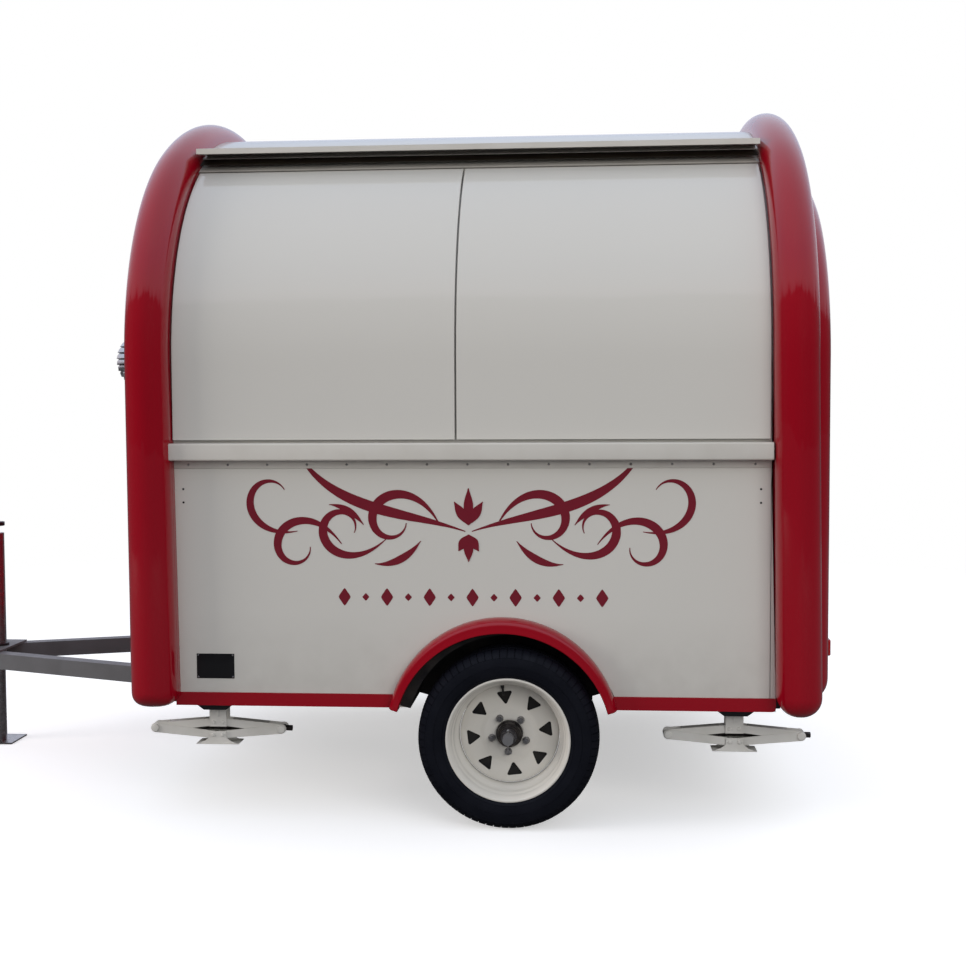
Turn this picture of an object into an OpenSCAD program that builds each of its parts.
// Single-axle food concession trailer with a round-shouldered shell.
// X runs from the tongue (-) to the rear door (+), Y across, Z up from the ground.

/* [Shell] */
// Width over the side panels
body_w = 2000; // [1700:10:2200]
// Height at which the side starts to curve in
shoulder_z = 1465; // [1300:5:1600]
// Radius of the shoulder
shoulder_r = 740; // [600:10:850]
// Angle that the shoulder turns through before the roof arc
shoulder_turn = 58.5; // [50:0.5:60]
// Thickness of the side, roof and end walls
wall_t = 30; // [20:1:40]
// Distance from the axle forward to the front rim
bay_front = 1059; // [950:1:1300]
// Distance from the axle back to the rear rim
bay_rear = 808; // [700:1:1000]
// Height of the panels' lower edge
panel_z = 374; // [340:1:420]

/* [Rims and ends] */
// Width of each moulded rim
rim_w = 136; // [110:1:160]
// Stand of the rims' crown over the side panels
rim_stand = 101; // [75:1:115]
// Height of the rims' lower tip
rim_z = 363; // [330:1:400]
// Depth of the rims' web below the panel plane
rim_web = 150; // [130:1:180]
// Stand of the end walls' flat past the rims
end_stand = 67; // [40:1:90]

/* [Serving side] */
// Height of the hatches' lower edge
hatch_z = 1217; // [1150:1:1300]
// Thickness of a hatch
hatch_t = 20; // [14:1:24]
// Distance from the axle forward to the seam between the hatches
seam_x = 160; // [60:1:260]
// Width of the seam between the hatches
seam_w = 6; // [5:1:12]
// Gap between a hatch and the rims
hatch_gap = 6; // [5:1:15]
// Width of the frame round each serving window
frame_w = 60; // [40:1:90]
// Top of the serving windows
window_top = 2000; // [1800:5:2040]
// Height of the sill rail
sill_h = 54; // [40:1:70]
// Stand of the sill rail over the side panel
sill_d = 50; // [30:1:60]
// Radius of the hatch hinge's knuckle
knuckle_r = 4; // [3:0.5:5]

/* [Roof edge] */
// Thickness of the raised roof skin
skin_t = 19; // [8:1:20]
// Half width of the raised roof skin
skin_half = 600; // [520:5:620]
// Distance of the drip rail's lip from the centre plane
lip_y = 700; // [670:1:730]
// Height of the drip rail's lip
lip_z = 2164; // [2155:1:2175]
// Thickness of the drip rail's lip
lip_t = 18; // [10:1:24]

/* [Door] */
// Width of the door
door_w = 660; // [560:10:700]
// Top of the door
door_top = 2000; // [1900:5:2010]
// Gap round the door
door_gap = 6; // [5:1:8]
// Stand of the door hinge's axis over the end wall
door_axis = 12; // [8:1:14]
// Reach of the door handle
handle_reach = 55; // [45:1:70]

/* [Chassis] */
// Height of the frame rails
rail_h = 80; // [60:5:100]
// Width of the frame rails
rail_w = 50; // [40:5:70]
// Thickness of the floor
floor_t = 25; // [15:1:40]
// Distance from the axle to the coupler's nose
tongue_x = 2450; // [2200:10:2700]
// Diameter of the ball that the coupler takes
ball_d = 50.8; // [47.6:0.1:60]
// Diameter of the jockey jack's outer tube
tube_d = 60; // [50:1:70]
// Travel of the jockey jack's leg
leg_travel = 250; // [150:10:280]

/* [Wheels] */
// Outer diameter of the tyre
tyre_d = 570; // [540:1:600]
// Width of the tyre
tyre_w = 166; // [145:1:185]
// Diameter over the wheel's lip
lip_d = 389; // [380:1:394]
// Stand of the wheel's lip over the side panel
wheel_out = 55; // [30:1:70]
// Depth from the wheel's lip to its disc
disc_in = 103; // [80:1:115]
// Pitch circle of the wheel studs
stud_pcd = 114.3; // [100:0.1:120]
// Radius of the spindle
spindle_r = 17; // [14:0.5:20]
// Outer radius of the fender arch
arch_r = 380; // [360:1:400]
// Inner radius of the fender arch
arch_in = 325; // [315:1:340]

/* [Scissor jacks] */
// Distance from the axle forward to the front jacks
jack_front = 948; // [850:1:1000]
// Distance from the axle back to the rear jacks
jack_rear = 708; // [600:1:720]
// Distance from the side panel in to the jacks
jack_in = 100; // [80:1:150]
// Length of a jack arm between its pins
arm_l = 193.5; // [180:0.5:210]
// Angle of the folded arms to the ground
arm_tilt = 6; // [5:0.5:8]
// Height of the elbows with the arms folded
elbow_z = 280; // [275:1:285]
// Radius of a jack pin
pin_r = 5; // [4:0.5:6]

/* [Hidden] */
$fn = 96;
SIDES = ["front_left", "front_right", "rear_left", "rear_right"];

red = "#a8001f";
cream = "#e2dfd6";
steel = "#c8c8c6";
black = "#1c1c1e";

// the shell's outline
half_w = body_w / 2;
shoulder_y = half_w - shoulder_r;
roof_r = shoulder_r + shoulder_y / cos(shoulder_turn);
roof_z = shoulder_z - (roof_r - shoulder_r) * sin(shoulder_turn);

// stations along the body, measured from the axle
front_in = -bay_front;
front_out = front_in - rim_w;
rear_in = bay_rear;
rear_out = rear_in + rim_w;
front_face = front_out - end_stand;
rear_face = rear_out + end_stand;
end_v = 50 - rim_web;
rim_web_in = 50;
end_depth = rim_web_in + end_stand;
shift_x = (tongue_x - rear_face - handle_reach) / 2;

// heights
wheel_z = tyre_d / 2;
floor_z = panel_z + rail_h;
sill_z = hatch_z - 10;
inner_z = floor_z + floor_t;
crank_z = 780;

// turn of the wheels' windows and studs
web_turn = 7;
stud_turn = 50.3;

// jockey jack's crank
crank_r = 9;

// door hinges
HINGE_Z = [620, 1250, 1800];
hinge_off = door_w / 2 + door_gap + 6;

// hatch hinge line on the hatch's outer face
hinge_v = hatch_t + 2;
hinge_arc = shoulder_r + hinge_v;
hinge_turn = shoulder_turn - asin((knuckle_r + 0.6) / hinge_arc);
hatch_turn = hinge_turn - asin((knuckle_r + 5) / hinge_arc);
hinge_y = -(shoulder_y + hinge_arc * cos(hinge_turn));
hinge_z = shoulder_z + hinge_arc * sin(hinge_turn);

// jack pins
arm_dx = arm_l * cos(arm_tilt);
arm_dz = arm_l * sin(arm_tilt);
pin_dx = 15;
jack_y = half_w - jack_in;
upper_z = elbow_z + arm_dz;
lower_z = elbow_z - arm_dz;
pin_gap = 0.05;

// ---- outline helpers: 2D x is the row's Y, 2D y is Z ----

module along_x(x0, x1)
    translate([x0, 0, 0]) rotate([90, 0, 90]) linear_extrude(x1 - x0) children();

// The shell's outline, moved outward by v, down to height z0
module outline(v, z0) {
    w = half_w + v;
    reach = roof_r + v;
    translate([-w, z0]) square([2 * w, shoulder_z - z0]);
    for (s = [-1, 1]) translate([s * shoulder_y, shoulder_z]) circle(shoulder_r + v, $fn = 180);
    intersection() {
        translate([0, roof_z]) circle(reach, $fn = 180);
        polygon([[0, roof_z],
                 [2 * reach * cos(shoulder_turn), roof_z + 2 * reach * sin(shoulder_turn)],
                 [-2 * reach * cos(shoulder_turn), roof_z + 2 * reach * sin(shoulder_turn)]]);
    }
}

// A band of the shell between two outward offsets
module band(v0, v1, x0, x1, z0) {
    difference() {
        along_x(x0, x1) outline(v1, z0);
        along_x(x0 - 1, x1 + 1) outline(v0, z0 - 1);
    }
}

// Sweeps a section along the shell's outline, down to height z0.
// The section's x is the outward offset and its y is the row's X.
module sweep_shell(z0) {
    for (s = [0, 1]) mirror([0, s, 0]) {
        translate([0, half_w, z0]) mirror([1, -1, 0]) linear_extrude(shoulder_z - z0)
            children();
        translate([0, shoulder_y, shoulder_z]) rotate([90, 0, 90])
            rotate_extrude(angle = shoulder_turn, $fn = 180)
            translate([shoulder_r, 0]) children();
    }
    translate([0, 0, roof_z]) rotate([90, 0, 90]) rotate([0, 0, shoulder_turn])
        rotate_extrude(angle = 180 - 2 * shoulder_turn, $fn = 180)
        translate([roof_r, 0]) children();
}

// The near side of the shell, from height z0 up to a ray at the given turn
module near_side(x0, x1, z0, turn) along_x(x0, x1) {
    reach = 1600;
    top = shoulder_z + reach * sin(turn);
    polygon([[-shoulder_y, z0], [-shoulder_y, shoulder_z],
             [-shoulder_y - reach * cos(turn), top], [-2 * body_w, top], [-2 * body_w, z0]]);
}

// ---- shell ----

// A rim's half-round section, centred on its own middle
module rim_section() {
    r = rim_w / 2;
    translate([-2 * wall_t, -r]) square([2 * wall_t + rim_stand - r, rim_w]);
    translate([rim_stand - r, 0]) circle(r);
}

// A moulded rim with a ball at each tip, and the web that carries the end wall
module rim(x_mid, web_x) {
    r = rim_w / 2;
    z0 = rim_z + r;
    translate([x_mid, 0, 0]) {
        sweep_shell(z0) difference() {
            rim_section();
            translate([-2 * wall_t - r, -r]) square([r, rim_w]);
        }
        for (s = [0, 1]) mirror([0, s, 0]) intersection() {
            translate([0, half_w, z0]) rotate([-90, 0, 0]) rotate_extrude() intersection() {
                rotate([0, 0, 90]) rim_section();
                translate([0, -body_w]) square([r, 2 * body_w]);
            }
            translate([-r - 1, 0, 0]) cube([rim_w + 2, body_w, z0]);
        }
    }
    sweep_shell(panel_z) translate([-rim_web, web_x]) square([rim_web - 2 * wall_t, 40]);
}

module front_rim() color(red) rim(front_out + rim_w / 2, front_out + rim_web_in);
module rear_rim() color(red) rim(rear_in + rim_w / 2, rear_out - rim_web_in - 40);

// An end wall, seated on the plane x = 0 and facing -X: a flat with a turned-in edge
module end_wall() difference() {
    along_x(-end_depth, 0) outline(end_v, panel_z);
    along_x(wall_t - end_depth, 1) outline(end_v - wall_t, inner_z);
}

module front_wall() color(red) translate([front_out + rim_web_in, 0, 0]) end_wall();

module rear_wall() color(red) difference() {
    translate([rear_out - rim_web_in, 0, 0]) mirror([1, 0, 0]) end_wall();
    translate([rear_face - 2 * wall_t, -door_w / 2 - door_gap, inner_z + 1 - door_gap])
        cube([4 * wall_t, door_w + 2 * door_gap, door_top - inner_z - 1 + 2 * door_gap]);
}

// The wall's halves of the door's hinges
module door_hinges() color(steel) for (z = HINGE_Z)
    translate([rear_face, hinge_off, z]) {
        cube([4, 40, 60]);
        for (h = [0, 40]) translate([0, 0, h]) {
            translate([door_axis, 0, 0]) cylinder(r = 6, h = 20);
            cube([door_axis, 6, 20]);
        }
    }

module door() color(red) {
    door_z = inner_z + 1;
    translate([rear_face - wall_t, -door_w / 2, door_z])
        cube([wall_t, door_w, door_top - door_z]);
    for (z = HINGE_Z) translate([rear_face, hinge_off, z + 20.5]) {
        translate([door_axis, 0, 0]) cylinder(r = 6, h = 19);
        translate([2, -60, 0]) cube([4, 60, 19]);
        translate([2, -6, 0]) cube([door_axis - 2, 6, 19]);
        translate([-1, -60, 0]) cube([3, 40, 19]);
    }
}

module door_handle() color(steel) translate([rear_face, -door_w / 2 + 60, 1180]) {
    translate([0, -20, -60]) cube([6, 40, 120]);
    translate([0, 0, 20]) rotate([0, 90, 0]) cylinder(r = 9, h = handle_reach - 10);
    translate([handle_reach - 10, 0, 20]) rotate([-90, 0, 0]) cylinder(r = 10, h = 110);
    translate([handle_reach - 10, 0, 20]) sphere(10);
}

module arch_cut(side) translate([0, side * (half_w + 60), wheel_z]) rotate([side * 90, 0, 0])
    cylinder(r = arch_in, h = 400);

module left_lower_panel() color(cream) difference() {
    translate([front_in, -half_w, panel_z])
        cube([rear_in - front_in, wall_t, hatch_z - panel_z]);
    arch_cut(-1);
}

module right_side_panel() color(cream) mirror([0, 1, 0]) difference() {
    for (skin = [[-wall_t, 0, panel_z], [0, hatch_t, hatch_z]]) intersection() {
        band(skin[0], skin[1], front_in, rear_in, skin[2]);
        near_side(front_in, rear_in, skin[2], shoulder_turn);
    }
    arch_cut(-1);
}

module window_frame() color(cream) difference() {
    intersection() {
        band(-wall_t, 0, front_in, rear_in, hatch_z);
        near_side(front_in, rear_in, hatch_z, shoulder_turn);
    }
    for (x = [[front_in + frame_w, -seam_x - frame_w / 2],
              [-seam_x + frame_w / 2, rear_in - frame_w]])
        translate([x[0], -half_w - 10, hatch_z + frame_w / 2])
            cube([x[1] - x[0], 400, window_top - hatch_z - frame_w / 2]);
}

// A sector of the roof between two offsets, from a turn over to its mirror image
module roof_sector(v0, v1, turn) translate([front_in, 0, roof_z]) rotate([90, 0, 90])
    rotate([0, 0, turn]) rotate_extrude(angle = 180 - 2 * turn, $fn = 180)
    translate([roof_r + v0, 0]) square([v1 - v0, rear_in - front_in]);

module roof_panel() color(cream) {
    roof_sector(-wall_t, hatch_t, shoulder_turn);
    roof_sector(0, hatch_t + skin_t, acos(skin_half / (roof_r + hatch_t + skin_t)));
}

module drip_rails() color(cream) for (s = [0, 1]) mirror([0, s, 0]) {
    r = roof_r + hatch_t + skin_t;
    back_y = 470;
    difference() {
        along_x(front_in + 4, rear_in - 4)
            polygon([[-lip_y, lip_z], [-lip_y, lip_z + lip_t],
                     [-back_y, roof_z + sqrt(r * r - back_y * back_y)],
                     [-back_y + 20, roof_z], [-skin_half + 30, roof_z],
                     [-skin_half + 30, roof_z + sqrt(r * r - pow(skin_half - 30, 2))]]);
        along_x(front_in, rear_in) translate([0, roof_z]) circle(r, $fn = 180);
    }
}

module sill_rails() color(cream) for (s = [0, 1]) mirror([0, s, 0]) {
    translate([front_in, -half_w - sill_d, sill_z - sill_h])
        cube([rear_in - front_in, sill_d, sill_h]);
    translate([front_in, -half_w - 3, sill_z - sill_h - 26])
        cube([rear_in - front_in, 3, 26]);
}

module skirts() color(red) for (s = [0, 1]) mirror([0, s, 0])
    for (x = [[front_in, -arch_r], [arch_r, rear_in]])
        translate([x[0], -half_w - 6, panel_z]) cube([x[1] - x[0], 6, 42]);

module hatch_hinges() color(steel) {
    translate([front_in + 5, hinge_y, hinge_z]) rotate([0, 90, 0])
        cylinder(r = knuckle_r, h = rear_in - front_in - 10);
    translate([front_in + 5, hinge_y, hinge_z]) rotate([90 - hinge_turn, 0, 0])
        translate([0, 0, -2]) cube([rear_in - front_in - 10, 30, 2]);
}

module hatch(x0, x1) intersection() {
    band(0.3, hatch_t, x0, x1, hatch_z);
    near_side(x0, x1, hatch_z, hatch_turn);
}

module front_hatch() color(cream) hatch(front_in + hatch_gap, -seam_x - seam_w / 2);
module rear_hatch() color(cream) hatch(-seam_x + seam_w / 2, rear_in - hatch_gap);

module vent_cowl() color(steel) {
    dome_r = 90;
    translate([front_face, -half_w + 300, 1478]) intersection() {
        translate([18, 0, 0]) sphere(dome_r);
        translate([-dome_r, -dome_r, -dome_r]) cube([dome_r, 2 * dome_r, 2 * dome_r]);
    }
}

module tail_lights() color("#b01018") for (s = [-1, 1])
    translate([rear_face, s * 690 - 60, 500]) cube([25, 120, 60]);

// ---- chassis ----

module floor() color("#8c8478") difference() {
    union() {
        translate([front_in, -half_w + wall_t, floor_z])
            cube([rear_in - front_in, body_w - 2 * wall_t, floor_t]);
        translate([front_out + rim_web_in, -half_w + rim_web, floor_z])
            cube([rear_out - front_out - 2 * rim_web_in, body_w - 2 * rim_web, floor_t]);
    }
    for (s = [-1, 1]) arch_cut(s);
}

module chassis_frame() color("#b9b9b5") {
    rail_y = 700;
    for (s = [-1, 1]) translate([front_in, s * rail_y - rail_w / 2, panel_z])
        cube([rear_in - front_in, rail_w, rail_h]);
    for (x = [front_in, -jack_front - 25, -arch_r - 60, arch_r + 10, jack_rear - 25,
              rear_in - rail_w])
        for (s = [0, 1]) mirror([0, s, 0]) {
            translate([x, 0, panel_z]) cube([rail_w, rail_y - rail_w / 2, rail_h]);
            translate([x, rail_y + rail_w / 2, panel_z])
                cube([rail_w, half_w - wall_t - rail_y - rail_w / 2, rail_h]);
        }
}

module tongue_frame() color("#b9b9b5") {
    root_y = 560;
    for (s = [0, 1]) mirror([0, s, 0]) linear_extrude_at(panel_z - 60, 60)
        polygon([[front_in + 300, root_y], [front_in + 300, root_y + 60],
                 [-tongue_x + 200, 70], [-tongue_x + 200, 12]]);
    translate([-tongue_x + 140, -70, panel_z - 60]) cube([140, 140, 60]);
    translate([-tongue_x + 300, -130, panel_z]) difference() {
        cube([120, 260, 8]);
        translate([60, 130, -1]) cylinder(d = tube_d, h = 10);
    }
}

module linear_extrude_at(z, h) translate([0, 0, z]) linear_extrude(h) children();

module coupler() color(steel) {
    x = -tongue_x + 45;
    difference() {
        union() {
            translate([x, 0, panel_z]) cylinder(r = 45, h = 60);
            translate([x, -45, panel_z]) cube([160, 90, 60]);
        }
        translate([x, 0, panel_z + 20]) sphere(d = ball_d + 1);
        translate([x, 0, panel_z - 1]) cylinder(d = ball_d + 1, h = 21);
    }
}

module tongue_jack_tube() color(steel) translate([-tongue_x + 360, 0, 0]) {
    difference() {
        translate([0, 0, 310]) cylinder(d = tube_d, h = 520);
        translate([0, 0, 309]) cylinder(d = tube_d - 11.8, h = 511);
    }
    translate([0, 0, crank_z]) rotate([90, 0, 0]) cylinder(r = crank_r, h = 90);
    translate([0, -90, crank_z]) cylinder(r = 8, h = 90);
}

module tongue_jack_leg() color(steel) translate([-tongue_x + 360, 0, 0]) {
    translate([0, 0, 6]) cylinder(d = tube_d - 12, h = crank_z - crank_r - leg_travel - 10);
    translate([-75, -75, 0]) cube([150, 150, 6]);
}

module axle_beam() color("#b9b9b5") {
    half = half_w - 130;
    translate([-25, -half, wheel_z - 25]) cube([50, 2 * half, 50]);
    for (s = [-1, 1]) translate([0, s * half, wheel_z]) rotate([-s * 90, 0, 0])
        cylinder(r = spindle_r, h = 130 + wheel_out - 5);
}

module leaf_springs() color(black) for (s = [-1, 1]) {
    y = s * 700 - 25;
    translate([-260, y, wheel_z + 25]) cube([520, 50, 24]);
    for (x = [-260, 220]) translate([x, y, wheel_z + 49])
        cube([40, 50, panel_z - wheel_z - 49]);
}

// Fender: a rolled arch outside the panel and a wheel box behind it
module fender(s) color(red) {
    translate([0, s * half_w, wheel_z]) rotate([-s * 90, 0, 0]) difference() {
        union() {
            cylinder(r = arch_r, h = 30);
            translate([0, 0, 30]) cylinder(r = arch_in + 22, h = 22);
            translate([0, 0, -250]) cylinder(r = arch_in, h = 250);
        }
        translate([0, 0, -247]) cylinder(r = arch_in - 4, h = 320);
    }
}

module above(z) intersection() {
    children();
    translate([-3000, -3000, z]) cube([6000, 6000, 3000]);
}

module left_fender() above(panel_z) fender(-1);
module right_fender() above(panel_z) fender(1);

// ---- wheels ----

module wheel_frame(s) translate([0, s * (half_w + wheel_out), wheel_z])
    rotate([s * 90, 0, 0]) children();

module tyre(s) color(black) wheel_frame(s) rotate_extrude($fn = 180) {
    r0 = lip_d / 2 - 12;
    c = 22;
    w = tyre_w;
    o = -(tyre_w - 152) / 2;
    difference() {
        union() {
            translate([r0, o + c]) square([tyre_d / 2 - r0, w - 2 * c]);
            translate([r0, o]) square([tyre_d / 2 - r0 - c, w]);
            for (y = [o + c, o + w - c]) translate([tyre_d / 2 - c, y]) circle(c);
        }
        translate([r0 - 1, 14]) square([60, 152 - 28]);
        translate([r0 - 1, o - 1]) square([14, 8 - o]);
        translate([r0 - 1, 145]) square([14, 20 - o]);
    }
}

module wheel(s) color(cream) wheel_frame(s) difference() {
    union() {
        rotate_extrude($fn = 180) {
            r = lip_d / 2;
            translate([r - 6, 0]) square([6, 7]);
            translate([r - 18, 0]) square([12, 5]);
            translate([r - 18, 0]) square([5, 152]);
            translate([r - 6, 145]) square([6, 7]);
            translate([r - 18, 147]) square([12, 5]);
            translate([spindle_r + 1, disc_in]) square([r - 18 - spindle_r, 5]);
        }
        cylinder(r = 42, h = disc_in);
    }
    translate([0, 0, -1]) cylinder(r = 36, h = 21);
    translate([0, 0, -1]) cylinder(r = spindle_r + pin_gap, h = 200);
    for (i = [0:7]) rotate([0, 0, s * (web_turn + i * 45)]) translate([114, 0, disc_in - 1])
        cylinder(r = 20, h = 8);
    for (i = [0:4]) rotate([0, 0, s * (stud_turn + i * 72)])
        translate([stud_pcd / 2, 0, disc_in - 1]) cylinder(r = 6.5, h = 8);
}

module left_tyre() tyre(-1);
module right_tyre() tyre(1);
module left_wheel() wheel(-1);
module right_wheel() wheel(1);

// ---- scissor jacks ----

// Puts a jack, drawn round its own centre line, at each corner
module jack_at(x, s) translate([x, s * jack_y, 0]) children();

function jack_x(i) = i < 2 ? -jack_front : jack_rear;
function jack_side(i) = i % 2 == 0 ? -1 : 1;

module both_plates(y0, t) for (s = [0, 1]) mirror([0, s, 0])
    translate([0, y0 + t, 0]) rotate([90, 0, 0]) linear_extrude(t) children();

// An arm's side, from its inner pin at the origin out to its elbow pin along +X
module arm_side() {
    circle(12);
    translate([arm_l, 0]) circle(15);
    polygon([[0, -12], [arm_l, -15], [arm_l, 15], [0, 12]]);
}

module arm(y0, web_up, bores) difference() {
    union() {
        both_plates(y0, 3) arm_side();
        intersection() {
            both_plates(0, y0 + 1) arm_side();
            translate([30, -40, web_up ? 10 : -40]) cube([arm_l - 75, 80, 30]);
        }
    }
    for (x = bores) translate([x, -40, 0]) rotate([-90, 0, 0])
        cylinder(r = pin_r + pin_gap, h = 80);
}

module upper_arm(s) color(cream) translate([s * pin_dx, 0, upper_z])
    mirror([s > 0 ? 0 : 1, 0, 0]) rotate([0, arm_tilt, 0]) arm(14, true, [0, arm_l]);

module lower_arm(s) color(cream) translate([s * pin_dx, 0, lower_z])
    mirror([s > 0 ? 0 : 1, 0, 0]) rotate([0, -arm_tilt, 0]) {
        arm(20, false, [0]);
        for (m = [0, 1]) mirror([0, m, 0]) translate([arm_l, 13, 0]) rotate([-90, 0, 0])
            cylinder(r = pin_r, h = 14);
    }

module jack_foot() color(cream) {
    both_plates(26, 3) translate([-27, 235]) square([54, 38]);
    translate([-70, -35, 231]) cube([140, 70, 4]);
    for (s = [-1, 1]) translate([s * pin_dx, -29, lower_z]) rotate([-90, 0, 0])
        cylinder(r = pin_r, h = 58);
}

module jack_screw() color(steel) {
    translate([-pin_dx - arm_dx - 14, 0, elbow_z]) rotate([0, 90, 0])
        cylinder(r = 7, h = 2 * (pin_dx + arm_dx) + 60);
    translate([-pin_dx - arm_dx, -12.7, elbow_z]) rotate([-90, 0, 0])
        cylinder(r = 11, h = 25.4);
}

module jack_bracket() color(cream) {
    both_plates(19, 4) translate([-28, upper_z - 14]) square([56, panel_z - upper_z + 14]);
    translate([-28, -23, panel_z - 6]) cube([56, 46, 6]);
    for (s = [-1, 1]) translate([s * pin_dx, -23, upper_z]) rotate([-90, 0, 0])
        cylinder(r = pin_r, h = 46);
}

module jack_brackets() for (i = [0:3]) jack_at(jack_x(i), jack_side(i)) jack_bracket();

module jack_part(p) {
    if (p == "upper_front") upper_arm(-1);
    if (p == "upper_rear") upper_arm(1);
    if (p == "lower_front") lower_arm(-1);
    if (p == "lower_rear") lower_arm(1);
    if (p == "foot") jack_foot();
    if (p == "screw") jack_screw();
}

// ---- assembly ----

module place() translate([shift_x, 0, 0]) children();

place() chassis_frame();
place() tongue_frame();
place() coupler();
place() tongue_jack_tube();
place() tongue_jack_leg();
place() floor();
place() front_rim();
place() front_wall();
place() rear_rim();
place() rear_wall();
place() door_hinges();
place() door();
place() door_handle();
place() left_lower_panel();
place() right_side_panel();
place() window_frame();
place() roof_panel();
place() drip_rails();
place() sill_rails();
place() skirts();
place() hatch_hinges();
place() front_hatch();
place() rear_hatch();
place() left_fender();
place() right_fender();
place() axle_beam();
place() leaf_springs();
place() left_tyre();
place() left_wheel();
place() right_tyre();
place() right_wheel();
place() vent_cowl();
place() tail_lights();
place() jack_brackets();
for (i = [0:3], p = ["upper_front", "upper_rear", "lower_front", "lower_rear", "foot", "screw"])
    place() jack_at(jack_x(i), jack_side(i)) jack_part(p);
